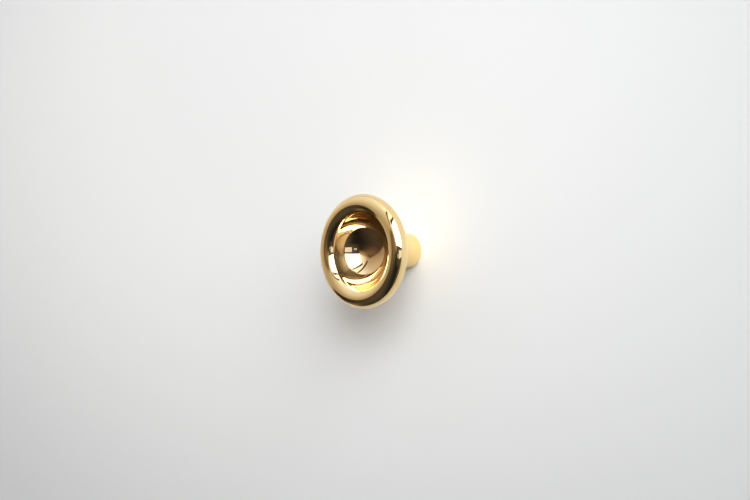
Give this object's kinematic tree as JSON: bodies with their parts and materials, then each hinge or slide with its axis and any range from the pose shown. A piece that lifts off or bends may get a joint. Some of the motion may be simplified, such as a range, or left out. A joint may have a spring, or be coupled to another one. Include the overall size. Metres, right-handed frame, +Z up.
{
  "type": "cabinet knob",
  "caption": "Polished brass cabinet knob with a round rolled rim, a deep spherical dish and a short straight stem that screws to a door or drawer front.",
  "frame": {"origin": "centre of the stem's end face, on the surface of the door", "axes": "+Z up as fitted, the knob's axis along -Y out of the door, +X to the right for someone facing the door"},
  "size_m": [0.038, 0.0254, 0.038],
  "materials": {
    "polished_brass": "polished"
  },
  "bodies": {
    "root": {"knob": "polished_brass"}
  },
  "joints": []
}
